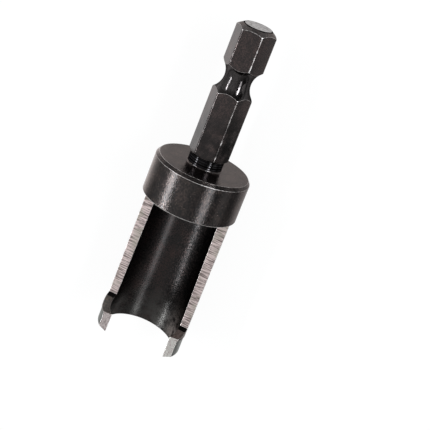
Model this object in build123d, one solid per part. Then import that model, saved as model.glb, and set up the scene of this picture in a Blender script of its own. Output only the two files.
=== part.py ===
from build123d import *
import os
from math import asin, degrees, radians, sqrt, tan

# Plug cutter, turned, bored, milled and ground from one bar of tool steel.
# The tool is drawn with its axis on X: x = 0 is the collar's face on the shank side,
# +X runs to the shank end, -X to the cutting end, and the window opens upwards, to +Z.
# At the end it is lifted, so that its collar lies on the surface z = 0.
# Sizes are in millimetres and degrees.

# Hexagonal quick-change shank
SHANK_LENGTH = 25.8
HEX_ACROSS_FLATS = 6.35
HEX_CORNER_RADIUS = 0.35
HEX_TURN = 2.6
HEX_CHAMFER_ANGLE = 35.0
END_FACE_DIAMETER = 4.8
WAIST_FROM_END = 9.7
WAIST_DIAMETER = 4.78
WAIST_ARC_RADIUS = 3.4

# Round neck between the hexagon and the collar, turned a little under the flats
NECK_UNDER_FLATS = 0.15
NECK_LENGTH = 1.85
NECK_FILLET = 0.25

# Tapered bore, which shapes the plug, with the drill's point left inside the collar
BORE_MOUTH_DIAMETER = 13.0
BORE_TAPER = 1.2
BORE_DEPTH_IN_COLLAR = 1.5
DRILL_POINT_ANGLE = 118.0

# Barrel, from the collar to the cutting edge
BARREL_LENGTH = 26.8
WALL_AT_MOUTH = 1.35

# Collar
COLLAR_LENGTH = 7.5
COLLAR_OVER_BARREL = 0.65
COLLAR_BEVEL_WIDTH = 0.45
COLLAR_BEVEL_LENGTH = 0.6
COLLAR_EDGE_BREAK = 0.15

# Teeth, the two ends of the open ring that is left at the cutting end
TOOTH_LENGTH = 3.5
TOOTH_FACE_ABOVE_AXIS = 3.5
TOOTH_TURN = 9.9
TOOTH_RELIEF_DEPTH = 0.12
TOOTH_RELIEF_BELOW_GULLET = 0.2
TIP_BEVEL_ANGLE = 27.0
TIP_CLEARANCE_ANGLE = 3.9
TIP_CLEARANCE_TURN = 47.0

# Window ground down past the axis, the small step at its end, and the gullet above the teeth
WINDOW_BELOW_AXIS = 0.64
STEP_HEIGHT = 1.09
GULLET_LENGTH = 1.6
GULLET_RADIUS = 6.0
GULLET_CENTRE_ABOVE_TEETH = 0.55

# Places that follow from the sizes above
NECK_RADIUS = (HEX_ACROSS_FLATS - NECK_UNDER_FLATS) / 2
BORE_MOUTH_RADIUS = BORE_MOUTH_DIAMETER / 2
BARREL_RADIUS = BORE_MOUTH_RADIUS + WALL_AT_MOUTH
COLLAR_RADIUS = BARREL_RADIUS + COLLAR_OVER_BARREL
COLLAR_BOTTOM = -COLLAR_LENGTH
TIP = COLLAR_BOTTOM - BARREL_LENGTH
GULLET_FLOOR = TIP + TOOTH_LENGTH
WINDOW_END = GULLET_FLOOR + GULLET_LENGTH
CLEAR = 2 * BARREL_RADIUS


def turned(*outline):
    """Turn a closed outline of (x, radius) points about the tool's axis."""
    return revolve(make_face(Polyline(*outline, close=True)), Axis.X)


def bore_radius(x):
    """Radius of the tapered bore at a place along the axis."""
    return BORE_MOUTH_RADIUS - (x - TIP) * tan(radians(BORE_TAPER))


def shank():
    """Hexagon with bevelled ends, a round neck, and the waist that a chuck's ball drops into."""
    hexagon = RegularPolygon(HEX_ACROSS_FLATS / 2, 6, major_radius=False, rotation=HEX_TURN)
    hexagon = fillet(hexagon.vertices(), HEX_CORNER_RADIUS)
    bar = extrude(Plane.YZ * hexagon, SHANK_LENGTH)

    reach = HEX_ACROSS_FLATS / sqrt(3)
    end_radius = END_FACE_DIAMETER / 2
    slope = tan(radians(HEX_CHAMFER_ANGLE))
    envelope = turned(
        (0, 0),
        (0, NECK_RADIUS),
        (NECK_LENGTH, NECK_RADIUS),
        (NECK_LENGTH + (reach - NECK_RADIUS) * slope, reach),
        (SHANK_LENGTH - (reach - end_radius) * slope, reach),
        (SHANK_LENGTH, end_radius),
        (SHANK_LENGTH, 0),
    )
    waist_x = SHANK_LENGTH - WAIST_FROM_END
    waist_centre = WAIST_DIAMETER / 2 + WAIST_ARC_RADIUS
    waist = revolve(Pos(waist_x, waist_centre) * Circle(WAIST_ARC_RADIUS), Axis.X)
    return (bar & envelope) - waist


def neck_root():
    """Small concave fillet where the neck meets the collar."""
    corner_radius = NECK_RADIUS + NECK_FILLET
    corner = Polyline((NECK_FILLET, NECK_RADIUS), (0, NECK_RADIUS), (0, corner_radius))
    sweep = CenterArc((NECK_FILLET, corner_radius), NECK_FILLET, 180, 90)
    return revolve(make_face(corner + sweep), Axis.X)


def collar():
    """Solid disc with a bevel on the shank side and a broken edge on the barrel side."""
    return turned(
        (0, 0),
        (0, COLLAR_RADIUS - COLLAR_BEVEL_WIDTH),
        (-COLLAR_BEVEL_LENGTH, COLLAR_RADIUS),
        (COLLAR_BOTTOM + COLLAR_EDGE_BREAK, COLLAR_RADIUS),
        (COLLAR_BOTTOM, COLLAR_RADIUS - COLLAR_EDGE_BREAK),
        (COLLAR_BOTTOM, 0),
    )


def barrel_blank():
    """Outside of the barrel, stepped down a little where the teeth are relieved."""
    relieved_radius = BARREL_RADIUS - TOOTH_RELIEF_DEPTH
    relief_start = GULLET_FLOOR - TOOTH_RELIEF_BELOW_GULLET
    return turned(
        (COLLAR_BOTTOM, 0),
        (COLLAR_BOTTOM, BARREL_RADIUS),
        (relief_start + TOOTH_RELIEF_DEPTH, BARREL_RADIUS),
        (relief_start, relieved_radius),
        (TIP - CLEAR, relieved_radius),
        (TIP - CLEAR, 0),
    )


def bore():
    """Tapered bore with a drill point at its blind end."""
    blind_end = COLLAR_BOTTOM + BORE_DEPTH_IN_COLLAR
    point_length = bore_radius(blind_end) / tan(radians(DRILL_POINT_ANGLE / 2))
    return turned(
        (TIP - CLEAR, 0),
        (TIP - CLEAR, bore_radius(TIP - CLEAR)),
        (blind_end, bore_radius(blind_end)),
        (blind_end + point_length, 0),
    )


def window():
    """Space above the flat window, the step at its end and the gullet arc, cut right across."""
    centre_height = TOOTH_FACE_ABOVE_AXIS + GULLET_CENTRE_ABOVE_TEETH
    step_top = STEP_HEIGHT - WINDOW_BELOW_AXIS
    arc_size = degrees(asin((centre_height - step_top) / GULLET_RADIUS))
    gullet = CenterArc((GULLET_FLOOR + GULLET_RADIUS, centre_height), GULLET_RADIUS, 180, arc_size)
    outline = gullet + Polyline(
        gullet @ 1,
        (WINDOW_END, -WINDOW_BELOW_AXIS),
        (COLLAR_BOTTOM, -WINDOW_BELOW_AXIS),
        (COLLAR_BOTTOM, CLEAR),
        (GULLET_FLOOR, CLEAR),
        gullet @ 0,
    )
    return extrude(Plane.XZ * make_face(outline), CLEAR, both=True)


def tooth_gap():
    """Space above the plane that both tooth faces are ground in, turned about the axis."""
    length = BARREL_LENGTH + CLEAR
    block = Box(length, 2 * CLEAR, CLEAR, align=(Align.MAX, Align.CENTER, Align.MIN))
    return Rot(X=TOOTH_TURN) * Pos(COLLAR_BOTTOM, 0, TOOTH_FACE_ABOVE_AXIS) * block


def tip_grinding():
    """Cone that bevels the cutting end, tipped so that the leading tooth reaches lowest."""
    slope = tan(radians(TIP_BEVEL_ANGLE))
    apex = -BORE_MOUTH_RADIUS * slope
    cone = turned((apex, 0), (apex + CLEAR * slope, CLEAR), (-2 * CLEAR, CLEAR), (-2 * CLEAR, 0))
    lean = Rot(X=TIP_CLEARANCE_TURN) * Rot(Y=-TIP_CLEARANCE_ANGLE)
    return Pos(TIP, 0, 0) * lean * cone


def plug_cutter():
    """One solid, lying on its collar with the middle of its box over the origin."""
    barrel = barrel_blank() - window() - tooth_gap() - tip_grinding()
    tool = shank() + neck_root() + collar() + barrel - bore()
    box = tool.bounding_box()
    return Pos(-box.center().X, 0, COLLAR_RADIUS) * tool


os.makedirs("parts", exist_ok=True)
export_step(plug_cutter(), "parts/plug_cutter.step")
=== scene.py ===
from math import radians, tan

import bmesh
import bpy
import numpy as np
from mathutils import Matrix, Vector
from mathutils.geometry import delaunay_2d_cdt


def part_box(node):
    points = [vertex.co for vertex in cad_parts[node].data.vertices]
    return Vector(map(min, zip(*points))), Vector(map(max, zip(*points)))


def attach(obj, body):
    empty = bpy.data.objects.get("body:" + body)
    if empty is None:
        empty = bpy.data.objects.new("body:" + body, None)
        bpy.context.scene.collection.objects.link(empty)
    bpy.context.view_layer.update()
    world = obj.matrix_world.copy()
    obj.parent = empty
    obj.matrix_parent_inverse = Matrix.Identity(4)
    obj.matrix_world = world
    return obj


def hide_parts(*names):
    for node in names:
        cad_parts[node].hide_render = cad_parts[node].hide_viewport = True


# Looks of the plug cutter: one bar of steel, turned, milled, bored and ground, then blackened.
# The surface is worked out in the tool's own frame, in millimetres: x runs along the axis with
# 0 at the collar's face on the shank side, and y and z are the row's own directions, measured
# from the axis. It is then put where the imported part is.
MILLIMETRE = 0.001

# Hexagonal shank
SHANK_LENGTH = 25.8
HEX_HALF_FLATS = 3.175
HEX_CORNER_RADIUS = 0.35
HEX_TURN = radians(2.6)
HEX_CHAMFER = tan(radians(35.0))
# Wear of each hexagon corner, from the upper -Y one round. That corner's larger share is partly real wear,
# partly painted highlight.
HEX_CORNER_WEAR_AND_HIGHLIGHT = np.array([1.18, 0.9, 1.0, 0.8, 1.0, 0.62])
END_FACE_RADIUS = 2.4
END_FACE_RINGS = (0.3, 1.2, 2.1)
WAIST_X = 16.1
WAIST_RADIUS = 2.39
WAIST_ARC_RADIUS = 3.4
NECK_RADIUS = 3.1
NECK_LENGTH = 1.85
NECK_FILLET = 0.25
NECK_RING_PITCH = 0.42
NECK_RING_DEPTH = 0.018
NECK_RING_FADE = 0.15
NECK_SECOND_WAVE = 0.35
NECK_SECOND_PITCH = 1.71

# Collar
COLLAR_RADIUS = 8.5
COLLAR_BOTTOM = -7.5
COLLAR_BEVEL_WIDTH = 0.45
COLLAR_BEVEL_LENGTH = 0.6
COLLAR_EDGE_BREAK = 0.15
COLLAR_FACE_RINGS = (3.6, 4.8, 6.4, 7.6)

# Barrel and bore
TIP = -34.3
BARREL_RADIUS = 7.85
BORE_MOUTH_RADIUS = 6.5
BORE_TAPER = tan(radians(1.2))
BORE_BLIND_END = -6.0
DRILL_POINT = tan(radians(59.0))

# Window, step, gullet and teeth
WINDOW_HEIGHT = -0.64
WINDOW_END = -29.2
STEP_TOP = 0.45
GULLET_RADIUS = 6.0
GULLET_FLOOR = -30.8
GULLET_CENTRE = 4.05
TOOTH_FACE = 3.5
TOOTH_TURN = radians(9.9)
RELIEF_START = -30.88
RELIEF_DEPTH = 0.12
TIP_BEVEL = tan(radians(27.0))
TIP_CLEARANCE = radians(3.9)
TIP_CLEARANCE_TURN = radians(47.0)

# How many rows and columns of faces each part has, and where some of the rows lie
FLAT_COLUMNS = 24
CORNER_COLUMNS = 6
RING_COLUMNS = 96
WALL_COLUMNS = 6
WAIST_ROWS = 28
FLAT_ROWS_ABOVE_WAIST = 4
FLAT_ROWS_BELOW_WAIST = 6
ROWS_PER_RING = 10
FILLET_ROWS = 6
COLLAR_ROWS = 7
LEVEL_ROWS = 12
FIRST_LEVEL_ROW = 0.06
GULLET_ROWS = 14
BLIND_ROWS = 3
BEVEL_SHARES = (0.2, 0.5, 0.8)
TOOTH_SHARES = (0.25, 0.5, 0.75)
DRILL_POINT_SHARES = (0.3, 0.6, 0.9)
TIP_MARGIN = 1.0
TIP_ROUNDS = 12
CAP_RING = 0.12

# How far each kind of edge is rounded, and how the rounding is made
FRESH_EDGE = 0.03
SHARP_EDGE = 0.05
SOFT_EDGE = 0.06
BLUNT_EDGE = 0.1
GULLET_FLOOR_EDGE = 0.12
GULLET_SIDE_EDGE = 0.14
SOFT_STEPS = np.array([0.0, 0.25, 0.5, 0.75, 1.0])
SOFT_HOLD = 1.6
SOFT_LIMIT = 0.3
SOFT_WEAR = np.array([0.0, 0.0, 0.6, 1.0, 0.6, 0.0, 0.0])
WEAR_PER_BEND = 3
WEAR_LOSS = 0.3
TINY = 1e-9
MERGE = 1e-6
SHARP_ANGLE = radians(36)

# Finishes, in the order of the mesh's material slots
TURNED, DRAWN, GROUND, RELIEVED, BORED, MILLED, CUT_OFF, WAISTED, NECK_PAINTED_SHADE, PAINTED_SHADE_BAND, TOOTH = range(11)
BARE_STEEL = (0.4, 0.37, 0.36, 1)
POLISHED_STEEL = (0.95, 0.93, 0.92, 1)
WORN_ROUGHNESS = 0.48
STEEL_IOR = 1.75
STAIN_SHARE = 0.5
BRIGHT_EDGE_SHARE = 0.7
WHITE = (1, 1, 1, 1)

# Light of the room and of the lamps, and what the room's parts show in reflections
LAMP_COLOUR = (0.94, 0.975, 1.0)
ROOM_LIGHT = 0.6
SKY_DARK = 0.04
SKY_LIGHT = 0.42
SKY_STRIP = 1.4 * SKY_LIGHT
# The next four are strengths of the floor's painted reflections, seen only by reflected rays.
PAINTED_REFLECTION_DARK = 0.05
PAINTED_REFLECTION_MIDDLE = 0.46
PAINTED_REFLECTION_LIGHT = 1.12
PAINTED_REFLECTION_END_LIGHT = 0.27
FLOOR_WHITE_SHARE = 0.92
FLOOR_HALF = 1.5

# Camera, in metres and in the row's frame, from the photograph's own perspective
CAMERA_PLACE = Vector((0.084155, -0.045726, 0.242651))
CAMERA_AIM = Vector((-0.002908, -0.004923, 0.0085))
CAMERA_UP = Vector((0.87179, 0.420794, -0.250828))
CAMERA_LENS = 123.676
SENSOR = 36.0
CLIP_START = 0.01


# Grids of points. A grid has the shape (rows, columns, 4): x, y, z and how worn the edge is there.


def softened(grid, creases, closed=False):
    """Rounds the creases that run along some rows of a grid.

    creases gives, for a row, how far the rounding reaches and a fade from 0 to 1, each as one
    number or one per column.
    A crease row becomes seven rows. The outer two hold the surface straight on both sides. The
    middle five lie on a quadratic curve, (1-t)^2 B + 2 t (1-t) P + t^2 A, where P is the crease
    and B and A lie the reach before and behind it. Where the fade is 0 they stay on the sharp
    path. The wear grows with the bend, the length of the sum of the unit steps to both sides.
    Returns the new grid and the new index of each old row.
    """
    rows = []
    where = []
    count = 0
    middle = len(SOFT_WEAR) // 2
    t = SOFT_STEPS[:, None, None]
    for k, here in enumerate(grid):
        if k not in creases:
            rows.append(here[None])
            where.append(count)
            count += 1
            continue
        reach, fade = creases[k]
        steps = (grid[k - 1] - here, grid[(k + 1) % len(grid) if closed else k + 1] - here)
        shares = []
        bend = np.zeros_like(here[:, :3])
        for step in steps:
            length = np.maximum(np.linalg.norm(step[:, :3], axis=1), TINY)[:, None]
            shares.append(np.minimum(np.reshape(reach, (-1, 1)), SOFT_LIMIT * length) / length)
            bend += step[:, :3] / length
        back, front = (here + step * share for step, share in zip(steps, shares))
        curve = (1 - t) ** 2 * back + 2 * t * (1 - t) * here + t**2 * front
        sharp = np.where(t < 0.5, back + (here - back) * 2 * t, here + (front - here) * (2 * t - 1))
        fade = np.broadcast_to(fade, here.shape[:1])[:, None]
        curve = curve * fade + sharp * (1 - fade)
        outer = [here + step * share * SOFT_HOLD for step, share in zip(steps, shares)]
        new = np.concatenate([outer[0][None], curve, outer[1][None]])
        worn = fade[:, 0] * np.clip(WEAR_PER_BEND * np.linalg.norm(bend, axis=1) - WEAR_LOSS, 0, 1)
        new[..., 3] += SOFT_WEAR[:, None] * worn
        rows.append(new)
        where.append(count + middle)
        count += len(SOFT_WEAR)
    return np.concatenate(rows), np.array(where)


def across(grid):
    """The same grid with rows and columns changed over."""
    return grid.swapaxes(0, 1)


def point_rows(x, radius, angle, wear=0.0):
    """Points at the given places along the axis, radii and angles: (x, r cos a, r sin a)."""
    x, radius, angle, wear = np.broadcast_arrays(x, radius, angle, wear)
    return np.stack([x, radius * np.cos(angle), radius * np.sin(angle), wear], axis=-1)


class Surface:
    """Collects points and faces of all the patches, and the finish of each face."""

    def __init__(self):
        self.points = []
        self.faces = []
        self.finish = []
        self.count = 0

    def add_points(self, points):
        """Keeps the points of one patch, and returns the number of its first."""
        start = self.count
        self.points.append(points.reshape(-1, 4))
        self.count += len(self.points[-1])
        return start

    def add_grid(self, grid, finish, closed=False):
        """Quads between neighbouring rows and columns. finish is one number or one per quad."""
        start = self.add_points(grid)
        rows, columns = grid.shape[:2]
        index = start + np.arange(rows * columns).reshape(rows, columns)
        right = np.roll(index, -1, axis=1)
        here, there = (index, right) if closed else (index[:, :-1], index[:, 1:])
        quads = np.stack([here[:-1], there[:-1], there[1:], here[1:]], axis=-1)
        self.faces += quads.reshape(-1, 4).tolist()
        self.finish += np.broadcast_to(finish, quads.shape[:2]).reshape(-1).tolist()

    def add_pole(self, ring, pole, finish):
        """Triangles from a closed ring to one point."""
        start = self.add_points(np.concatenate([ring, pole[None]]))
        index = start + np.arange(len(ring))
        last = np.full(len(ring), start + len(ring))
        self.faces += np.stack([index, np.roll(index, -1), last], axis=-1).tolist()
        self.finish += [finish] * len(ring)

    def add_flat(self, outer, inner, finish):
        """Triangles of a flat face between two closed rings at one place along the axis, by
        Delaunay's rule. Those that fill the inner ring are left out."""
        rings = np.concatenate([outer, inner])
        start = self.add_points(rings)
        corners = list(range(len(rings)))
        loops = [corners[: len(outer)], corners[len(outer) :]]
        found = delaunay_2d_cdt([Vector(point[1:3]) for point in rings], [], loops, 1, MERGE)
        triangles = [triangle for triangle, source in zip(found[2], found[5]) if 1 not in source]
        self.faces += (start + np.array(triangles)).tolist()
        self.finish += [finish] * len(triangles)

    def mesh(self, name, origin):
        """One closed mesh with merged seams, outward faces and an edge_wear value per point."""
        points = np.concatenate(self.points)
        me = bpy.data.meshes.new(name)
        me.from_pydata((points[:, :3] * MILLIMETRE + np.array(origin)).tolist(), [], self.faces)
        me.polygons.foreach_set("material_index", np.array(self.finish, np.int32))
        worn = me.attributes.new("edge_wear", "FLOAT", "POINT")
        worn.data.foreach_set("value", points[:, 3].astype(np.float32))
        bm = bmesh.new()
        bm.from_mesh(me)
        bmesh.ops.remove_doubles(bm, verts=bm.verts, dist=MERGE)
        bmesh.ops.dissolve_degenerate(bm, edges=bm.edges, dist=MERGE / 10)
        bmesh.ops.recalc_face_normals(bm, faces=bm.faces)
        bm.to_mesh(me)
        bm.free()
        me.shade_smooth()
        me.set_sharp_from_angle(angle=SHARP_ANGLE)
        return me


# Turned and hexagonal end


def hexagon_columns():
    """Angles of the columns round the shank, close together at the hexagon's rounded corners."""
    reach = np.arctan(hexagon_tangent() / HEX_HALF_FLATS)
    flat = np.linspace(-reach, reach, FLAT_COLUMNS, endpoint=False)
    corner = np.linspace(reach, radians(60) - reach, CORNER_COLUMNS, endpoint=False)
    one = np.concatenate([flat, corner])
    turns = np.radians(60) * np.arange(6)[:, None]
    return (HEX_TURN + radians(90) + turns + one).reshape(-1)


def hexagon_tangent():
    """Half the width of a flat, up to where the corner's arc begins."""
    return (HEX_HALF_FLATS - HEX_CORNER_RADIUS) * tan(radians(30))


def hexagon_radius(angle):
    """Distance from the axis to the hexagon, and how worn its corner is there, with painted highlight
    added on the upper -Y corner.

    On a flat it is half the width over the cosine of the angle from the flat's middle. On a
    corner it is the far side of the corner's circle: c cos a + sqrt(r^2 - c^2 sin^2 a).
    """
    from_flat = (angle - HEX_TURN - radians(90) + radians(30)) % radians(60) - radians(30)
    from_corner = radians(30) - np.abs(from_flat)
    centre = (HEX_HALF_FLATS - HEX_CORNER_RADIUS) / np.cos(radians(30))
    arc = centre * np.cos(from_corner)
    arc += np.sqrt(np.maximum(HEX_CORNER_RADIUS**2 - (centre * np.sin(from_corner)) ** 2, 0))
    flat = HEX_HALF_FLATS / np.cos(from_flat)
    width = radians(30) - np.arctan(hexagon_tangent() / HEX_HALF_FLATS)
    corner = np.floor((angle - HEX_TURN - radians(90)) / radians(60)).astype(int) % 6
    wear = np.clip(1 - from_corner / width, 0, 1) * HEX_CORNER_WEAR_AND_HIGHLIGHT[corner]
    return np.where(from_corner < width, arc, flat), wear


def neck_rings(x):
    """Radius of the neck with the fine rings that the turning tool left: a sum of two cosine
    waves, whose highest crest is the neck's own radius, and which fades out at both ends."""
    turn = 2 * np.pi * x / NECK_RING_PITCH
    wave = np.cos(turn) + NECK_SECOND_WAVE * np.cos(turn * NECK_SECOND_PITCH + 1.0)
    fade = np.clip((x - NECK_FILLET) / NECK_RING_FADE, 0, 1)
    fade = fade * np.clip((NECK_LENGTH - x) / NECK_RING_FADE, 0, 1)
    return NECK_RADIUS + NECK_RING_DEPTH * (wave - (1 + NECK_SECOND_WAVE)) * fade


def shank_and_collar(surface):
    """The end, hexagon, waist, neck and collar as one grid: rows follow the outline along the
    tool and columns go round it. Each crease is a row, so it bends with the hexagon's flats:
    it lies where the turned cone or arc reaches the hexagon's own radius. Returns the last row."""
    angle = hexagon_columns()
    hexagon, corner = hexagon_radius(angle)
    rows = []
    creases = {}
    finish = []

    def row(x, radius, wear=0.0, crease=None, side=None):
        """One row, whether it is a crease, and the finish from it to the next."""
        if crease:
            creases[len(rows)] = (crease, 1.0)
        rows.append(point_rows(x, radius, angle, wear))
        finish.append(side)

    for radius in END_FACE_RINGS:
        row(SHANK_LENGTH, radius, side=CUT_OFF)
    # The band from the end face's edge into the chamfer is painted shade: near-black steel.
    row(SHANK_LENGTH, END_FACE_RADIUS, crease=SHARP_EDGE, side=PAINTED_SHADE_BAND)
    rise = hexagon - END_FACE_RADIUS
    top = SHANK_LENGTH - rise * HEX_CHAMFER
    for share in BEVEL_SHARES:
        row(SHANK_LENGTH + (top - SHANK_LENGTH) * share, END_FACE_RADIUS + rise * share, side=TURNED)
    row(top, hexagon, corner, crease=BLUNT_EDGE, side=DRAWN)

    centre = WAIST_RADIUS + WAIST_ARC_RADIUS
    swing = np.arccos((centre - hexagon) / WAIST_ARC_RADIUS)
    shoulder = WAIST_ARC_RADIUS * np.sin(swing)
    prism_rows(row, top, WAIST_X + shoulder, hexagon, corner, FLAT_ROWS_ABOVE_WAIST)
    row(WAIST_X + shoulder, hexagon, corner, crease=SOFT_EDGE, side=WAISTED)
    for turn in (swing * share for share in np.linspace(1, -1, WAIST_ROWS + 1)[1:-1]):
        x = WAIST_X + WAIST_ARC_RADIUS * np.sin(turn)
        row(x, centre - WAIST_ARC_RADIUS * np.cos(turn), side=WAISTED)
    row(WAIST_X - shoulder, hexagon, corner, crease=BLUNT_EDGE, side=DRAWN)
    bottom = NECK_LENGTH + (hexagon - NECK_RADIUS) * HEX_CHAMFER
    prism_rows(row, WAIST_X - shoulder, bottom, hexagon, corner, FLAT_ROWS_BELOW_WAIST)
    # From the hexagon's lower chamfer to the fillet: the neck's own turned finish, with painted shade as a
    # much darker oxide.
    row(bottom, hexagon, corner, crease=SHARP_EDGE, side=NECK_PAINTED_SHADE)

    row(NECK_LENGTH, NECK_RADIUS, side=NECK_PAINTED_SHADE)
    for x in np.arange(NECK_LENGTH, NECK_FILLET, -NECK_RING_PITCH / ROWS_PER_RING)[1:]:
        row(x, neck_rings(x), side=NECK_PAINTED_SHADE)
    for turn in np.radians(np.linspace(0, 90, FILLET_ROWS)):
        row(NECK_FILLET * (1 - np.sin(turn)), NECK_RADIUS + NECK_FILLET * (1 - np.cos(turn)), side=TURNED)

    for radius in COLLAR_FACE_RINGS:
        row(0.0, radius, side=TURNED)
    row(0.0, COLLAR_RADIUS - COLLAR_BEVEL_WIDTH, crease=SOFT_EDGE, side=TURNED)
    row(-COLLAR_BEVEL_LENGTH, COLLAR_RADIUS, crease=SOFT_EDGE, side=TURNED)
    lower_edge = COLLAR_BOTTOM + COLLAR_EDGE_BREAK
    for x in np.linspace(-COLLAR_BEVEL_LENGTH, lower_edge, COLLAR_ROWS + 1)[1:-1]:
        row(x, COLLAR_RADIUS, side=TURNED)
    row(lower_edge, COLLAR_RADIUS, crease=SHARP_EDGE, side=CUT_OFF)
    row(COLLAR_BOTTOM, COLLAR_RADIUS - COLLAR_EDGE_BREAK, crease=FRESH_EDGE, side=TURNED)
    row(COLLAR_BOTTOM, COLLAR_RADIUS - 2 * COLLAR_EDGE_BREAK, side=TURNED)

    grid, where = softened(np.stack(rows), creases)
    side = np.full((len(grid) - 1, 1), TURNED)
    for k in range(len(where) - 1):
        side[where[k] : where[k + 1]] = finish[k]
    surface.add_grid(grid, side, closed=True)
    surface.add_pole(grid[0], point_rows(SHANK_LENGTH, 0.0, 0.0), CUT_OFF)
    return grid[-1]


def prism_rows(row, start, end, hexagon, corner, count):
    """Plain rows of the hexagon, evenly spaced between two creases."""
    for share in np.linspace(0, 1, count + 2)[1:-1]:
        row(start + (end - start) * share, hexagon, corner, side=DRAWN)


# Barrel


def bore_radius(x):
    """Radius of the tapered bore along the axis."""
    return BORE_MOUTH_RADIUS - (x - TIP) * BORE_TAPER


def outer_radius(x):
    """Radius of the barrel, which drops by the relief's depth over as long a slope."""
    return BARREL_RADIUS - np.clip(RELIEF_START - x, 0, RELIEF_DEPTH)


def gullet_x(z):
    """Place along the axis of the gullet's arc at a height above the axis."""
    rise = np.clip(GULLET_CENTRE - z, 0, GULLET_RADIUS)
    return GULLET_FLOOR + GULLET_RADIUS - np.sqrt(GULLET_RADIUS**2 - rise**2)


def tip_x(y, z):
    """Place along the axis of the bevelled cutting end: a cone, tipped for clearance.

    In the tipped frame the cone is x = (r - mouth radius) * bevel. A point (x, y, z) is turned
    into that frame, and x is corrected by what is left, which settles in a few rounds.
    """
    turn = Matrix.Rotation(TIP_CLEARANCE_TURN, 3, "X") @ Matrix.Rotation(-TIP_CLEARANCE, 3, "Y")
    turn = np.array(turn)
    x = np.zeros_like(y)
    for _ in range(TIP_ROUNDS):
        local = np.stack([x, y, z], axis=-1) @ turn
        on_cone = (np.hypot(local[..., 1], local[..., 2]) - BORE_MOUTH_RADIUS) * TIP_BEVEL
        x = x - (local[..., 0] - on_cone)
    return TIP + x


def face_corner(side, radius, depth=0.0):
    """Corner (y, z) of a tooth face at a radius: on the plane whose distance from the axis is the
    face height less a depth, with its normal turned about the axis."""
    height = TOOTH_FACE - depth
    along = side * np.sqrt(radius**2 - height**2)
    sine, cosine = np.sin(TOOTH_TURN), np.cos(TOOTH_TURN)
    return along * cosine - height * sine, along * sine + height * cosine


def window_corner(side, radius, z):
    """Corner (y, z) of a level cut at a radius."""
    return side * np.sqrt(radius**2 - z**2), z


def ring_loop(corners, radii, level_x):
    """One closed loop round the C-shaped section, starting at the bottom of its outside.

    corners holds (x, y, z) of the outer and inner corner on the +Y side, then on the -Y side, and
    radii the functions that give the outer and inner radius along the axis.
    Between two corners of one radius the points keep that radius and their angle and place along
    the axis change evenly. Between the corners of one cut they lie on a straight line, and
    level_x gives their place along the axis from (y, z), if it isn't even too.
    """
    outer_left, inner_left, outer_right, inner_right = np.array(corners)

    def cut(first, last):
        """Points between two corners of one cut, on a straight line."""
        share = np.linspace(0, 1, WALL_COLUMNS + 1)[1:-1, None]
        line = first + (last - first) * share
        if level_x is not None:
            line[:, 0] = level_x(line[:, 1], line[:, 2])
        return np.concatenate([line, np.zeros((len(line), 1))], axis=1)

    share = np.linspace(0, 1, RING_COLUMNS + 1)
    outside = arc_between(outer_right, outer_left, radii[0], share)
    inside = arc_between(inner_right, inner_left, radii[1], share)[::-1]
    half = RING_COLUMNS // 2
    left, right = cut(outer_left, inner_left), cut(inner_right, outer_right)
    return np.concatenate([outside[half:], left, inside, right, outside[:half]])


def arc_between(first, last, radius, share):
    """Points from the -Y corner round the bottom to the +Y corner: the angle and the place along
    the axis go evenly from the first to the last, and radius gives the distance from the axis."""
    start = np.arctan2(first[2], first[1]) % (2 * np.pi)
    end = np.arctan2(last[2], last[1]) % (2 * np.pi)
    end = end + 2 * np.pi if end < np.pi else end
    x = first[0] + (last[0] - first[0]) * share
    return point_rows(x, radius(x), start + (end - start) * share)


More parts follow.
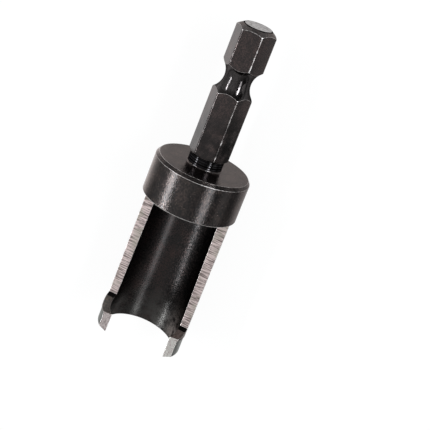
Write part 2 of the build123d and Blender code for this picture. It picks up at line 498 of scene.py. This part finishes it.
def barrel(surface):
    """The barrel as one grid: rows step along the tool and follow the window, the step, the
    gullet's arc, the tooth faces and the tip, and each row is a loop round the C-shaped section.
    A row of the gullet has its corners evenly spaced in height, from the step to the tooth face.
    Returns the first row, at the collar, and the indices of the section's four corners."""
    rows = []
    creases = {}
    half = RING_COLUMNS // 2
    corners = half + np.cumsum([0, WALL_COLUMNS, RING_COLUMNS, WALL_COLUMNS])
    column = np.arange(2 * (RING_COLUMNS + WALL_COLUMNS))
    on_outside = ((column <= corners[0]) | (column >= corners[3])) * 1.0
    on_cuts = ((column - corners[0]) * (column - corners[1]) <= 0) * 1.0
    on_cuts += (column - corners[2]) * (column - corners[3]) <= 0

    def add_row(loop, crease):
        """One row, and how far it is rounded if it is a crease."""
        if crease:
            creases[len(rows)] = crease
        rows.append(loop)

    def level_row(x, z, crease=None):
        """A row at one place along the axis, cut level at a height."""
        corners = []
        for side in (1, -1):
            for radius in (outer_radius, bore_radius):
                corners.append((x, *window_corner(side, radius(x), z)))
        add_row(ring_loop(corners, (outer_radius, bore_radius), None), crease)

    def gullet_row(share, crease=None):
        """A row on the gullet's arc, a share of the way from the step to the tooth faces."""
        corners = []
        for side in (1, -1):
            for radius in (outer_radius, bore_radius):
                floor = gullet_x(face_corner(side, radius(GULLET_FLOOR))[1])
                top = face_corner(side, radius(floor))[1]
                z = STEP_TOP + (top - STEP_TOP) * share
                x = gullet_x(z)
                corners.append((x, *window_corner(side, radius(x), z)))
        add_row(ring_loop(corners, (outer_radius, bore_radius), lambda y, z: gullet_x(z)), crease)

    def tooth_row(x, crease=None, depth=0.0):
        """Without x the row lies on the bevelled tip, a depth in from its edge all round."""
        at = TIP if x is None else x
        corners = []
        for side in (1, -1):
            for radius, grow in ((outer_radius, -depth), (bore_radius, depth)):
                corners.append((at, *face_corner(side, radius(at) + grow, depth)))
        radii = (lambda x: outer_radius(x) - depth, lambda x: bore_radius(x) + depth)
        loop = ring_loop(corners, radii, None)
        if x is None:
            loop[:, 0] = tip_x(loop[:, 1], loop[:, 2])
        add_row(loop, crease)

    level_x = np.linspace(COLLAR_BOTTOM, WINDOW_END, LEVEL_ROWS)[1:-1]
    for x in (COLLAR_BOTTOM, COLLAR_BOTTOM - FIRST_LEVEL_ROW, *level_x):
        level_row(x, WINDOW_HEIGHT)
    step = len(rows)
    level_row(WINDOW_END, WINDOW_HEIGHT, crease=(SHARP_EDGE, on_cuts))
    gullet = len(rows)
    level_row(gullet_x(STEP_TOP), STEP_TOP, crease=(SHARP_EDGE, on_cuts))
    for share in np.linspace(0, 1, GULLET_ROWS + 1)[1:-1]:
        gullet_row(share)
    gullet_end = len(rows)
    gullet_row(1.0, crease=(GULLET_FLOOR_EDGE, on_cuts))
    relief = len(rows)
    tooth_row(RELIEF_START, crease=(FRESH_EDGE, on_outside))
    tooth_row(RELIEF_START - RELIEF_DEPTH, crease=(FRESH_EDGE, on_outside))
    for share in TOOTH_SHARES:
        tooth_row(RELIEF_START - RELIEF_DEPTH + (TIP + TIP_MARGIN - RELIEF_START) * share)
    tooth_row(None, crease=(FRESH_EDGE, 1.0))
    tooth_row(None, depth=CAP_RING)

    grid, where = softened(np.stack(rows), creases)
    step, gullet, gullet_end, relief = where[[step, gullet, gullet_end, relief]]
    fade = np.ones(len(grid))
    fade[[0, -1]] = 0
    outer, inner = np.full(len(grid), SOFT_EDGE), np.full(len(grid), BLUNT_EDGE)
    for reach in (outer, inner):
        reach[gullet:gullet_end] = GULLET_SIDE_EDGE
    reaches = zip(corners, (outer, inner, inner, outer))
    turned, where = softened(across(grid), {corner: (reach, fade) for corner, reach in reaches})
    grid = across(turned)
    corners = where[corners]

    side = np.full((len(grid) - 1, grid.shape[1]), TURNED)
    side[:, corners[1] : corners[2]] = BORED
    for first, last in (corners[:2], corners[2:]):
        side[:step, first:last] = GROUND
        # The step between the window and the gullet is painted shade: near-black steel.
        side[step:gullet, first:last] = PAINTED_SHADE_BAND
        side[gullet:gullet_end, first:last] = MILLED
        side[gullet_end:, first:last] = TOOTH
    side[relief:, : corners[0]] = RELIEVED
    side[relief:, corners[3] :] = RELIEVED
    surface.add_grid(grid, side, closed=True)
    cap(surface, grid[-1], corners)
    return grid[0], corners


def cap(surface, loop, corners):
    """The bevelled end between the outer and inner edges: a ladder of rungs across the wall, whose
    points are spaced as those of the left cut are, going over evenly to those of the right cut."""
    outside = np.concatenate([loop[corners[3] :], loop[: corners[0] + 1]])
    inside = loop[corners[1] : corners[2] + 1][::-1]

    def shares(rung):
        """How far along a rung each of its points lies, from 0 to 1."""
        length = np.linalg.norm(rung[:, 1:3] - rung[0, 1:3], axis=1)
        return length / length[-1]

    left = shares(loop[corners[0] : corners[1] + 1])
    right = shares(loop[corners[2] : corners[3] + 1][::-1])
    place = np.linspace(0, 1, len(outside))[:, None]
    share = (right + (left - right) * place)[..., None]
    grid = outside[:, None] * (1 - share) + inside[:, None] * share
    grid[..., 0] = tip_x(grid[..., 1], grid[..., 2])
    surface.add_grid(grid, RELIEVED)


def collar_underside(surface, edge, loop, corners):
    """The collar's face on the barrel side, round the barrel and the open half of the bore, and
    the blind end of the bore inside the collar."""
    outside = np.concatenate([loop[corners[3] :], loop[: corners[0] + 1]])
    left_cut = loop[corners[0] : corners[1] + 1]
    right_cut = loop[corners[2] : corners[3] + 1]
    inside = loop[corners[1] : corners[2] + 1]
    start = np.arctan2(loop[corners[2], 2], loop[corners[2], 1]) % (2 * np.pi)
    end = np.arctan2(loop[corners[1], 2], loop[corners[1], 1])
    angle = np.linspace(start, end, RING_COLUMNS + 1)[1:-1]
    open_half = point_rows(COLLAR_BOTTOM, bore_radius(COLLAR_BOTTOM), angle)
    inner = np.concatenate([outside, left_cut[1:], open_half[::-1], right_cut[:-1]])
    surface.add_flat(edge, inner, TURNED)

    ring = np.concatenate([inside, open_half])
    angle = np.arctan2(ring[:, 2], ring[:, 1])
    rows = [ring]
    for x in np.linspace(COLLAR_BOTTOM, BORE_BLIND_END, BLIND_ROWS + 1)[1:]:
        rows.append(point_rows(x, bore_radius(x), angle))
    end_radius = bore_radius(BORE_BLIND_END)
    for share in DRILL_POINT_SHARES:
        x = BORE_BLIND_END + end_radius * share / DRILL_POINT
        rows.append(point_rows(x, end_radius * (1 - share), angle))
    surface.add_grid(np.stack(rows), BORED, closed=True)
    surface.add_pole(rows[-1], point_rows(BORE_BLIND_END + end_radius / DRILL_POINT, 0.0, 0.0), BORED)


def new_object(name, data):
    """An object in the scene that shows this mesh, lamp or camera."""
    obj = bpy.data.objects.new(name, data)
    bpy.context.scene.collection.objects.link(obj)
    return obj


def plug_cutter(origin):
    """The whole tool as one closed mesh."""
    surface = Surface()
    edge = shank_and_collar(surface)
    loop, corners = barrel(surface)
    collar_underside(surface, edge, loop, corners)
    return new_object("plug_cutter_steel", surface.mesh("plug_cutter_steel", origin))


# Materials, in metres, because they read Object coordinates


def add(tree, kind, inputs, **settings):
    """A new node. Its inputs, by name or number, are joined to a socket or set to a value."""
    node = tree.nodes.new("ShaderNode" + kind)
    for name, value in settings.items():
        setattr(node, name, value)
    for key, value in inputs.items():
        if isinstance(value, bpy.types.NodeSocket):
            tree.links.new(value, node.inputs[key])
        else:
            node.inputs[key].default_value = value
    return node


def maths(tree, operation, first, second=0.0, clamp=False):
    """One operation on two values."""
    return add(tree, "Math", {0: first, 1: second}, operation=operation, use_clamp=clamp).outputs[0]


def plus(tree, first, second):
    """The sum of two values."""
    return maths(tree, "ADD", first, second)


def times(tree, first, second):
    """The product of two values."""
    return maths(tree, "MULTIPLY", first, second)


def blend(tree, share, first, second):
    """Colour between two, by share."""
    return add(tree, "Mix", {0: share, 6: first, 7: second}, data_type="RGBA").outputs[2]


def between(tree, value, low, high, start=0.0, end=1.0):
    """Smooth step from start to end while the value goes from low to high."""
    inputs = {"Value": value, "From Min": low, "From Max": high, "To Min": start, "To Max": end}
    return add(tree, "MapRange", inputs, interpolation_type="SMOOTHSTEP").outputs[0]


def noise(tree, place, scale, detail=2.0, roughness=0.6):
    """Soft noise from 0 to 1 with about scale waves to the metre, finer with more detail."""
    inputs = {"Vector": place, "Scale": scale, "Detail": detail, "Roughness": roughness}
    return add(tree, "TexNoise", inputs).outputs["Fac"]


def object_place(tree):
    """Object coordinates as a vector, and as x, y and z measured from the tool's axis."""
    place = add(tree, "TexCoord", {}).outputs["Object"]
    parts = add(tree, "SeparateXYZ", {0: place}).outputs
    return place, parts[0], parts[1], maths(tree, "SUBTRACT", parts[2], COLLAR_RADIUS * MILLIMETRE)


def stretched(tree, x, y, z, scales):
    """A place with its three parts scaled apart, which draws a pattern out into lines."""
    parts = [times(tree, part, scale) for part, scale in zip((x, y, z), scales)]
    return add(tree, "CombineXYZ", {0: parts[0], 1: parts[1], 2: parts[2]}).outputs[0]


def effect(name, inputs, outputs):
    """Empty node group with named inputs and outputs."""
    tree = bpy.data.node_groups.new(name, "ShaderNodeTree")
    for label, value in inputs.items():
        kind = "NodeSocketColor" if isinstance(value, tuple) else "NodeSocketFloat"
        tree.interface.new_socket(label, in_out="INPUT", socket_type=kind).default_value = value
    for label, kind in outputs.items():
        tree.interface.new_socket(label, in_out="OUTPUT", socket_type="NodeSocket" + kind)
    return tree, tree.nodes.new("NodeGroupInput").outputs, tree.nodes.new("NodeGroupOutput").inputs


def blackening():
    """Black oxide with brown specks: dark steel, browner where fine and coarse noise add up."""
    tree, given, out = effect(
        "blackening",
        {"Dark": (0.003, 0.002, 0.002, 1), "Brown": (0.026, 0.012, 0.0105, 1), "Speck Scale": 4500.0,
         "Roughness": 0.3},
        {"Color": "Color", "Roughness": "Float"},
    )
    place = object_place(tree)[0]
    fine = noise(tree, place, given["Speck Scale"], 3.0)
    coarse = noise(tree, place, 500.0, roughness=0.5)
    both = plus(tree, times(tree, fine, 0.7), times(tree, coarse, 0.3))
    specks = between(tree, both, 0.42, 0.66)
    tree.links.new(blend(tree, specks, given["Dark"], given["Brown"]), out["Color"])
    uneven = times(tree, maths(tree, "SUBTRACT", fine, 0.5), 0.35)
    tree.links.new(plus(tree, given["Roughness"], uneven), out["Roughness"])
    return tree


def worn_edges():
    """Bright broken lines where the black is rubbed off an edge: the edge's wear, plus noise, is
    cut off at a level. Where the level is highest the bare steel is polished too."""
    tree, given, out = effect(
        "worn edges", {"Wear": 1.0, "Gaps": 0.8, "Grain": 2600.0}, {"Mask": "Float", "Color": "Color"}
    )
    wear = add(tree, "Attribute", {}, attribute_name="edge_wear").outputs["Fac"]
    place = object_place(tree)[0]
    grain = noise(tree, place, given["Grain"])
    gaps = times(tree, maths(tree, "SUBTRACT", grain, 0.5), given["Gaps"])
    gaps = times(tree, gaps, 2.0)
    level = plus(tree, times(tree, wear, given["Wear"]), gaps)
    near = maths(tree, "MULTIPLY", wear, 5.0, clamp=True)
    tree.links.new(times(tree, between(tree, level, 0.35, 0.75), near), out["Mask"])
    tree.links.new(blend(tree, between(tree, level, 0.75, 1.35), BARE_STEEL, POLISHED_STEEL), out["Color"])
    return tree


def turning_marks():
    """Rings round the axis: noise that changes quickly with x less the radius, so it lines both
    the sides and the faces, and slowly round them. Pits of plain noise are added to them."""
    tree, given, out = effect(
        "turning marks", {"Marks per Metre": 4500.0, "Breaks per Metre": 150.0, "Pits": 0.0},
        {"Height": "Float", "Shade": "Float"},
    )
    place, x, y, z = object_place(tree)
    square = plus(tree, times(tree, y, y), times(tree, z, z))
    radius = maths(tree, "SQRT", square)
    along = times(tree, maths(tree, "SUBTRACT", x, radius), given["Marks per Metre"])
    breaks = given["Breaks per Metre"]
    lines = stretched(tree, along, y, z, (1.0, breaks, breaks))
    height = noise(tree, lines, 1.0, 2.0, 0.55)
    pits = times(tree, noise(tree, place, 4200.0), given["Pits"])
    tree.links.new(plus(tree, height, pits), out["Height"])
    spots = noise(tree, place, 2500.0, 3.0)
    both = plus(tree, times(tree, height, 0.4), times(tree, spots, 0.6))
    tree.links.new(between(tree, both, 0.38, 0.58), out["Shade"])
    return tree


def grinding_marks():
    """Lines as a grinding wheel leaves them: a fine noise that changes quickly one way and slowly
    the other, cut deeper where a broad one is low. Stain is a coarse noise of its own."""
    tree, given, out = effect(
        "grinding marks", {"Marks per Metre": 6500.0, "Across per Metre": 420.0},
        {"Height": "Float", "Shade": "Float", "Stain": "Float"},
    )
    place, x, y, z = object_place(tree)
    along, across = given["Marks per Metre"], given["Across per Metre"]
    fine = noise(tree, stretched(tree, x, y, z, (along, across, across)), 1.0)
    along, across = times(tree, along, 0.3), times(tree, across, 0.6)
    broad = noise(tree, stretched(tree, x, y, z, (along, across, across)), 1.0, 1.0, 0.5)
    both = plus(tree, times(tree, fine, 0.85), times(tree, broad, 0.15))
    tree.links.new(fine, out["Height"])
    tree.links.new(between(tree, both, 0.37, 0.59), out["Shade"])
    tree.links.new(between(tree, noise(tree, place, 420.0, roughness=0.5), 0.5, 0.66), out["Stain"])
    return tree


def drawing_marks():
    """Faint lines along the tool, as the die leaves them on drawn bar: noise that changes slowly
    with x and quickly round the tool, with pits of plain noise."""
    tree, _, out = effect("drawing marks", {}, {"Height": "Float"})
    place, x, y, z = object_place(tree)
    lines = noise(tree, stretched(tree, x, y, z, (350.0, 5000.0, 5000.0)), 1.0)
    pits = noise(tree, place, 3200.0)
    tree.links.new(plus(tree, times(tree, lines, 0.4), pits), out["Height"])
    return tree


def painted_light_and_shade_at_end():
    """Patches of another colour that grow from one place along the tool to another: painted light at
    the bore's mouth and painted shade above the neck. The -Y side has a colour of its own there."""
    tree, given, out = effect(
        "painted light and shade at end",
        {"Color": (0.1, 0.1, 0.1, 1), "Left": (0.2, 0.2, 0.2, 1), "Right": (0.4, 0.4, 0.4, 1),
         "Start": -0.02, "End": -0.03, "Middle": -0.0025, "Far": -0.005},
        {"Color": "Color"},
    )
    place, x, y, _ = object_place(tree)
    patches = between(tree, noise(tree, place, 600.0, 3.0), 0.3, 0.6)
    # Painted light and shade: a patch that grows along the tool, with a colour of its own on the -Y side.
    share = times(tree, between(tree, x, given["Start"], given["End"]), patches)
    changed = blend(tree, between(tree, y, given["Middle"], given["Far"]), given["Left"], given["Right"])
    tree.links.new(blend(tree, share, given["Color"], changed), out["Color"])
    return tree


def side_painted_light_and_shade():
    """Spots of another colour on the -Y side, painted as that side's light and shade: darker in the bore,
    browner on the gullet and lighter on the tooth face.
    """
    tree, given, out = effect(
        "side painted light and shade", {"Color": (0.5, 0.5, 0.5, 1), "Other": (0.9, 0.9, 0.9, 1)}, {"Color": "Color"}
    )
    place, _, y, _ = object_place(tree)
    spots = between(tree, noise(tree, place, 3000.0), 0.36, 0.56)
    share = times(tree, between(tree, y, 0.002, -0.002), spots)
    tree.links.new(blend(tree, share, given["Color"], given["Other"]), out["Color"])
    return tree


def steel(name):
    """A new material with its node tree and its shader's inputs."""
    material = bpy.data.materials.new(name)
    material.use_nodes = True
    shader = material.node_tree.nodes["Principled BSDF"]
    shader.inputs["IOR"].default_value = STEEL_IOR
    return material, material.node_tree, shader.inputs


def join(tree, inputs, sockets):
    """Joins sockets to a shader's inputs, by name."""
    for name, socket in sockets.items():
        tree.links.new(socket, inputs[name])


def bumped(tree, height, distance):
    """Normal of a surface with marks of this depth, in metres."""
    return add(tree, "Bump", {"Height": height, "Distance": distance, "Strength": 1.0}).outputs[0]


def placed(tree, effects, name, values):
    """The outputs of an effect's node group, with its own values."""
    return add(tree, "Group", values, node_tree=effects[name]).outputs


def black_steel(name, effects, marks, depth, oxide, wear):
    """Blackened steel: its oxide, its tool marks, and bare steel where the edges are worn."""
    material, tree, inputs = steel(name)
    black = placed(tree, effects, "blackening", oxide)
    bare = placed(tree, effects, "worn edges", wear)
    worn = bare["Mask"]
    lines = placed(tree, effects, *marks)
    rough = add(tree, "Mix", {0: worn, 2: black["Roughness"], 3: WORN_ROUGHNESS}, data_type="FLOAT")
    join(tree, inputs, {
        "Base Color": blend(tree, worn, black["Color"], bare["Color"]), "Metallic": worn,
        "Roughness": rough.outputs[0], "Normal": bumped(tree, lines["Height"], depth),
    })
    return material


def oiled_steel(name, effects, marks, depth, oxide, wear, edge_tint):
    """Blackened steel that is smooth and dark even at a glance along it: a dark metal whose
    reflection at a flat angle has a tint of its own."""
    material = black_steel(name, effects, marks, depth, oxide, wear)
    tree = material.node_tree
    inputs = tree.nodes["Principled BSDF"].inputs
    tree.links.remove(inputs["Metallic"].links[0])
    inputs["Metallic"].default_value = 1.0
    inputs["Specular Tint"].default_value = edge_tint
    return material


def recoloured(material, effects, name, values):
    """The material with an effect between its colour and its shader."""
    tree = material.node_tree
    base = tree.nodes["Principled BSDF"].inputs["Base Color"]
    colour = base.links[0].from_socket
    tree.links.new(placed(tree, effects, name, {"Color": colour, **values})["Color"], base)
    return material


def drawn_steel(effects):
    """Oiled steel of the hexagon, with painted shade above the neck, darkest on the -Y side."""
    material = oiled_steel(
        "drawn_black_steel", effects, ("drawing marks", {}), depth=7e-6,
        oxide={"Roughness": 0.25, "Dark": (0.08, 0.072, 0.072, 1), "Brown": (0.15, 0.113, 0.108, 1)},
        wear={"Wear": 0.75, "Gaps": 1.15, "Grain": 1600.0}, edge_tint=WHITE,
    )
    # Painted shade: darker towards the neck, and darkest on the -Y side.
    painted_shade_by_neck = {
        "Left": (0.055, 0.05, 0.05, 1), "Right": (0.02, 0.018, 0.018, 1),
        "Start": 0.019, "End": 0.009, "Middle": -0.001, "Far": -0.0025,
    }
    return recoloured(material, effects, "painted light and shade at end", painted_shade_by_neck)


def bored_steel(effects):
    """Oiled steel of the bore, with painted shade in spots on the -Y side and painted light in patches at
    its mouth.
    """
    material = oiled_steel(
        "bored_black_steel", effects,
        ("turning marks", {"Marks per Metre": 4200.0, "Breaks per Metre": 900.0, "Pits": 0.6}), depth=3e-6,
        oxide={"Roughness": 0.3, "Dark": (0.045, 0.044, 0.044, 1), "Brown": (0.087, 0.063, 0.06, 1)},
        wear={"Wear": 0.7, "Gaps": 0.5}, edge_tint=(0.4, 0.4, 0.4, 1),
    )
    # Painted shade: darker spots on the bore's -Y side.
    recoloured(material, effects, "side painted light and shade", {"Other": (0.02, 0.019, 0.019, 1)})
    # Painted light: lighter patches at the mouth, lightest on the -Y side.
    mouth = {"Left": (0.097, 0.094, 0.09, 1), "Right": (0.4, 0.35, 0.33, 1)}
    return recoloured(material, effects, "painted light and shade at end", mouth)


def milled_steel(effects):
    """Duller blackened steel of the gullet's arc, browner on one side."""
    material = black_steel(
        "milled_black_steel", effects,
        ("turning marks", {"Marks per Metre": 2600.0, "Pits": 1.0}), depth=8e-6,
        oxide={"Roughness": 0.42, "Speck Scale": 1900.0,
               "Dark": (0.007, 0.005, 0.003, 1), "Brown": (0.06, 0.041, 0.031, 1)},
        wear={"Wear": 1.2, "Gaps": 0.5},
    )
    # Painted light and shade: browner spots on the gullet's -Y side.
    return recoloured(material, effects, "side painted light and shade", {"Other": (0.06, 0.041, 0.036, 1)})


def bare_steel(name, effects, marks, depth, dark, light, roughness, stain=None):
    """Bare steel: its marks go from a dark to a light colour, and are cut into it. Its edges are
    bright, and a stain, if there is one, lies on part of it."""
    material, tree, inputs = steel(name)
    inputs["Metallic"].default_value = 1.0
    lines = placed(tree, effects, *marks)
    colour = blend(tree, lines["Shade"], dark, light)
    if stain:
        colour = blend(tree, times(tree, lines["Stain"], STAIN_SHARE), colour, stain)
    edge = placed(tree, effects, "worn edges", {"Wear": 0.9, "Gaps": 0.7})
    join(tree, inputs, {
        "Base Color": blend(tree, times(tree, edge["Mask"], BRIGHT_EDGE_SHARE), colour, POLISHED_STEEL),
        "Roughness": between(tree, lines["Shade"], 0.0, 1.0, *roughness),
        "Normal": bumped(tree, lines["Height"], depth),
    })
    return material


def tooth_steel(effects):
    """Bare steel of the tooth faces, with painted light in spots on the -Y face, which makes it brighter.
    """
    material = bare_steel(
        "tooth_steel", effects,
        ("grinding marks", {"Marks per Metre": 1500.0, "Across per Metre": 5000.0}), depth=5e-6,
        dark=(0.5, 0.425, 0.412, 1), light=(1.0, 0.9, 0.88, 1), roughness=(0.46, 0.34),
    )
    # Painted light: brighter spots on the -Y tooth face.
    return recoloured(material, effects, "side painted light and shade", {"Other": (1.0, 0.98, 0.93, 1)})


def finishes():
    """The material of each finish, in the order of the mesh's slots."""
    trees = (blackening(), worn_edges(), turning_marks(), grinding_marks(), drawing_marks(),
             painted_light_and_shade_at_end(), side_painted_light_and_shade())
    effects = {tree.name: tree for tree in trees}
    turned = oiled_steel(
        "turned_black_steel", effects,
        ("turning marks", {"Marks per Metre": 3600.0, "Breaks per Metre": 3000.0, "Pits": 1.6}),
        depth=1.55e-5,
        oxide={"Roughness": 0.2, "Speck Scale": 3400.0,
               "Dark": (0.064, 0.061, 0.061, 1), "Brown": (0.145, 0.118, 0.11, 1)},
        wear={"Wear": 1.1, "Gaps": 0.7}, edge_tint=(1, 0.93, 0.91, 1),
    )
    ground = bare_steel(
        "ground_steel", effects,
        ("grinding marks", {"Marks per Metre": 6600.0, "Across per Metre": 450.0}), depth=6e-6,
        dark=(0.19, 0.15, 0.142, 1), light=(0.96, 0.81, 0.785, 1), roughness=(0.5, 0.4),
        stain=(0.5, 0.48, 0.4, 1),
    )
    relieved = bare_steel(
        "relieved_steel", effects,
        ("grinding marks", {"Marks per Metre": 300.0, "Across per Metre": 1500.0}), depth=3e-6,
        dark=(0.27, 0.27, 0.255, 1), light=(0.42, 0.42, 0.395, 1), roughness=(0.4, 0.34),
    )
    cut_off = bare_steel(
        "end_steel", effects, ("turning marks", {"Marks per Metre": 2600.0}), depth=3e-6,
        dark=(0.45, 0.432, 0.425, 1), light=(0.8, 0.772, 0.762, 1), roughness=(0.5, 0.4),
    )
    waisted = oiled_steel(
        "waisted_black_steel", effects,
        ("turning marks", {"Marks per Metre": 3000.0, "Breaks per Metre": 900.0, "Pits": 1.5}),
        depth=3.5e-6,
        oxide={"Roughness": 0.13, "Dark": (0.068, 0.064, 0.064, 1), "Brown": (0.13, 0.118, 0.118, 1)},
        wear={"Wear": 1.0, "Gaps": 0.5}, edge_tint=(0.35, 0.35, 0.35, 1),
    )
    # The neck's own turned finish, partly painted shade: its oxide is much darker than the waist's.
    neck_painted_shade = oiled_steel(
        "neck_black_steel_painted_shade", effects,
        ("turning marks", {"Marks per Metre": 3000.0, "Breaks per Metre": 700.0}), depth=4e-6,
        oxide={"Roughness": 0.14, "Dark": (0.026, 0.025, 0.027, 1), "Brown": (0.05, 0.049, 0.052, 1)},
        wear={"Wear": 1.0, "Gaps": 0.5}, edge_tint=(0.4, 0.4, 0.4, 1),
    )
    # Painted shade: near-black steel with no reflection at a flat angle, for the step and the band by the
    # end face.
    painted_shade_steel = oiled_steel(
        "black_steel_painted_shade", effects, ("turning marks", {"Marks per Metre": 3000.0}), depth=2.5e-6,
        oxide={"Roughness": 0.5, "Dark": (0.01, 0.009, 0.009, 1), "Brown": (0.02, 0.018, 0.018, 1)},
        wear={"Wear": 0.6, "Gaps": 0.9}, edge_tint=(0, 0, 0, 1),
    )
    return [
        turned, drawn_steel(effects), ground, relieved, bored_steel(effects), milled_steel(effects),
        cut_off, waisted, neck_painted_shade, painted_shade_steel, tooth_steel(effects),
    ]


# Studio


def point_camera():
    """Camera at the photograph's place, looking along its axis and rolled as it was."""
    camera = bpy.data.cameras.new("camera")
    camera.lens = CAMERA_LENS
    camera.sensor_fit = "HORIZONTAL"
    camera.sensor_width = SENSOR
    camera.clip_start = CLIP_START
    obj = new_object("camera", camera)
    back = (CAMERA_PLACE - CAMERA_AIM).normalized()
    right = CAMERA_UP.cross(back).normalized()
    up = back.cross(right)
    obj.matrix_world = Matrix.Translation(CAMERA_PLACE) @ Matrix((right, up, back)).transposed().to_4x4()
    bpy.context.scene.camera = obj


def strip_lamp(name, target, side, elevation, distance, reach, width, brightness):
    """Long soft lamp beside the tool, its long side along the tool's axis, between two places.
    Its power is pi times its area times its brightness."""
    light = bpy.data.lights.new(name, "AREA")
    light.shape = "RECTANGLE"
    light.size = reach[1] - reach[0]
    light.size_y = width
    light.energy = np.pi * light.size * light.size_y * brightness
    light.color = LAMP_COLOUR
    obj = new_object(name, light)
    away = Vector((0.0, side * np.cos(elevation), np.sin(elevation)))
    along = Vector((1.0, 0.0, 0.0))
    turn = Matrix((along, away.cross(along), away)).transposed().to_4x4()
    middle = target + away * distance + along * sum(reach) / 2
    obj.matrix_world = Matrix.Translation(middle) @ turn


def shown(tree):
    """1 for a ray from the camera, off metal or through glass, and whether it is a reflected one."""
    ray = add(tree, "LightPath", {}).outputs
    seen = maths(tree, "MAXIMUM", ray["Is Camera Ray"], ray["Is Glossy Ray"])
    return maths(tree, "MAXIMUM", seen, ray["Is Transmission Ray"]), ray["Is Glossy Ray"]


def floor():
    """Plain pale floor. It shows white, keeps part of its own shading for the tool's shadow, and
    in reflections has darker and lighter places: painted reflections of cards that are not in the scene."""
    corners = [(x * FLOOR_HALF, y * FLOOR_HALF, 0) for x, y in ((-1, -1), (1, -1), (1, 1), (-1, 1))]
    me = bpy.data.meshes.new("floor")
    me.from_pydata(corners, [], [(0, 1, 2, 3)])
    material = bpy.data.materials.new("floor")
    material.use_nodes = True
    tree = material.node_tree
    shader = tree.nodes["Principled BSDF"]
    shader.inputs["Base Color"].default_value = (0.9, 0.9, 0.9, 1)
    shader.inputs["Roughness"].default_value = 0.9
    seen, reflected = shown(tree)
    place, x, y, _ = object_place(tree)
    far = add(tree, "VectorMath", {0: place}, operation="LENGTH").outputs["Value"]
    # A painted reflection of a dark card begins beside the tool on the -Y side, its edge a little aslant.
    slanted = plus(tree, y, times(tree, x, 0.2))
    painted_reflection = between(tree, slanted, -0.025, -0.017, PAINTED_REFLECTION_DARK, PAINTED_REFLECTION_MIDDLE)
    # Painted reflections of one light card on the +Y side, and of one beyond the shank's end.
    light = times(tree, between(tree, y, 0.008, 0.014), between(tree, x, -0.03, -0.012))
    painted_reflection = plus(tree, painted_reflection, times(tree, light, PAINTED_REFLECTION_LIGHT - PAINTED_REFLECTION_MIDDLE))
    light = times(tree, between(tree, y, -0.001, -0.005), between(tree, x, 0.031, 0.037))
    painted_reflection = plus(tree, painted_reflection, times(tree, light, PAINTED_REFLECTION_END_LIGHT))
    # The painted reflection is darker further out on both sides, and lighter again far off on the -Y side.
    painted_reflection = times(tree, painted_reflection, between(tree, y, -0.03, -0.042, 1.0, 0.5))
    painted_reflection = plus(tree, painted_reflection, between(tree, y, -0.055, -0.12, 0.0, PAINTED_REFLECTION_MIDDLE))
    painted_reflection = times(tree, painted_reflection, between(tree, y, 0.018, 0.036, 1.0, 0.48))
    painted_reflection = times(tree, painted_reflection, between(tree, far, 0.06, 0.25, 1.0, 0.38))
    strength = plus(tree, times(tree, maths(tree, "SUBTRACT", painted_reflection, 1.0), reflected), 1.0)
    white = add(tree, "Emission", {"Color": WHITE, "Strength": strength}).outputs[0]
    share = times(tree, seen, FLOOR_WHITE_SHARE)
    mix = add(tree, "MixShader", {0: share, 1: shader.outputs[0], 2: white}).outputs[0]
    tree.links.new(mix, tree.nodes["Material Output"].inputs["Surface"])
    me.materials.append(material)
    obj = new_object("floor", me)


def room():
    """World: plain light, white to the camera. In reflections it is darker to the -Y side and
    past the shank's end, with a light strip low on the -Y side."""
    world = bpy.data.worlds.new("studio")
    world.use_nodes = True
    tree = world.node_tree
    ray = add(tree, "LightPath", {}).outputs
    way = add(tree, "SeparateXYZ", {0: add(tree, "TexCoord", {}).outputs["Generated"]}).outputs
    sky = between(tree, way[1], -0.88, 0.15, SKY_DARK, SKY_LIGHT)
    sky = times(tree, sky, between(tree, way[0], 0.35, 0.85, 1.0, 0.35))
    sky = plus(tree, sky, between(tree, way[1], -0.9, -0.94, 0.0, SKY_STRIP))
    plain = times(tree, maths(tree, "SUBTRACT", sky, ROOM_LIGHT), ray["Is Glossy Ray"])
    plain = plus(tree, plain, ROOM_LIGHT)
    strength = maths(tree, "MAXIMUM", plain, ray["Is Camera Ray"])
    tree.links.new(strength, tree.nodes["Background"].inputs["Strength"])
    tree.nodes["Background"].inputs["Color"].default_value = WHITE
    bpy.context.scene.world = world


def studio(target):
    """Room, lamps, floor and camera. The lamps are aimed at a place on the tool's axis."""
    room()
    strip_lamp(
        "left_strip", target, side=1, elevation=radians(44), distance=0.5, reach=(-0.3, 0.36),
        width=0.036, brightness=22.5,
    )
    strip_lamp(
        "right_strip", target, side=-1, elevation=radians(43), distance=0.5, reach=(-0.3, 0.44),
        width=0.08, brightness=5.0,
    )
    strip_lamp(
        "right_front_strip", target, side=-1, elevation=radians(43), distance=0.45, reach=(0.03, 0.41),
        width=0.075, brightness=16.0,
    )
    floor()
    point_camera()
    bpy.context.scene.view_settings.view_transform = "Standard"


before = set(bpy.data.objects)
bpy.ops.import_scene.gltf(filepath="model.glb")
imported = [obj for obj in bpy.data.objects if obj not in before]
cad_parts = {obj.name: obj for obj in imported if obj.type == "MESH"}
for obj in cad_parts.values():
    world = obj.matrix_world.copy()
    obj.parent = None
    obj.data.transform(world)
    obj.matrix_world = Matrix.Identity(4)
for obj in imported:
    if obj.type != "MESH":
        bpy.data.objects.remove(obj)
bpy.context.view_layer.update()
low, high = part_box("plug_cutter")
origin = Vector((high.x - SHANK_LENGTH * MILLIMETRE, (low.y + high.y) / 2, (low.z + high.z) / 2))
tool = plug_cutter(origin)
for material in finishes():
    tool.data.materials.append(material)
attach(tool, "root")
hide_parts("plug_cutter")
studio(origin)
